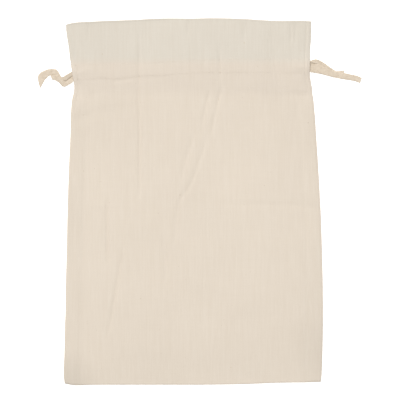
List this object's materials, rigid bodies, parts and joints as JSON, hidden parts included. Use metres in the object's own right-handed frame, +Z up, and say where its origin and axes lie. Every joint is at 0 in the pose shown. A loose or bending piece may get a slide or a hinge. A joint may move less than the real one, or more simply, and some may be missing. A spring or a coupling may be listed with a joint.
{
  "type": "cloth drawstring pouch",
  "caption": "Flat cloth drawstring pouch with a hemmed mouth and a stitched casing, closed by flat tapes whose free ends leave at opposite sides.",
  "frame": {"origin": "middle of the pouch's outline, on the surface that it lies on", "axes": "+X to the right as the pouch is seen with its mouth away, +Y towards the mouth, +Z up from the surface"},
  "size_m": [0.2668, 0.3013, 0.0116],
  "materials": {
    "cloth": "matte plain-woven natural cotton with slubs",
    "tape": "matte flat woven cotton tape"
  },
  "bodies": {
    "root": {"pouch": "cloth", "drawstring_left": "tape", "drawstring_right": "tape"}
  },
  "joints": []
}
